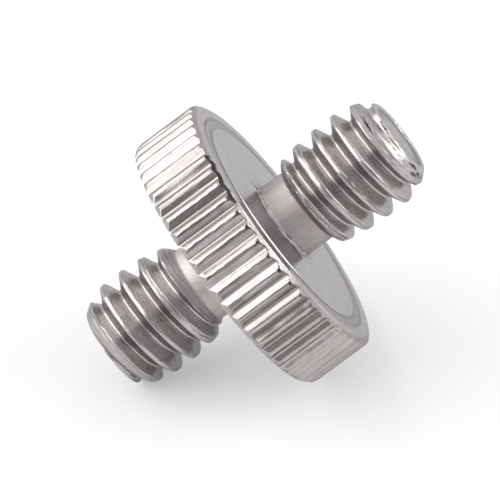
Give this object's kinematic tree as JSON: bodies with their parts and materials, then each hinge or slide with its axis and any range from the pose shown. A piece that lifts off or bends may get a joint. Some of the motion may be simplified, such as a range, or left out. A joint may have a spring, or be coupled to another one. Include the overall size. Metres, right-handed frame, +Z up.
{
  "type": "tripod thread adapter",
  "caption": "Bright metal adapter: a disc with a fluted rim between threaded studs that stand on plain necks.",
  "frame": {"origin": "On the ground, at the middle of the outline seen from above, as the piece lies at rest on two ridges of its rim and on the end of its lower stud.", "axes": "+Z is up. The studs' common axis lies in the plane XZ and rises towards +X, at about 35 degrees to the ground."},
  "size_m": [0.0184, 0.0158, 0.0149],
  "materials": {
    "plated_steel": "bright nickel plate over turned steel"
  },
  "bodies": {
    "root": {"thread_adapter": "plated_steel"}
  },
  "joints": []
}
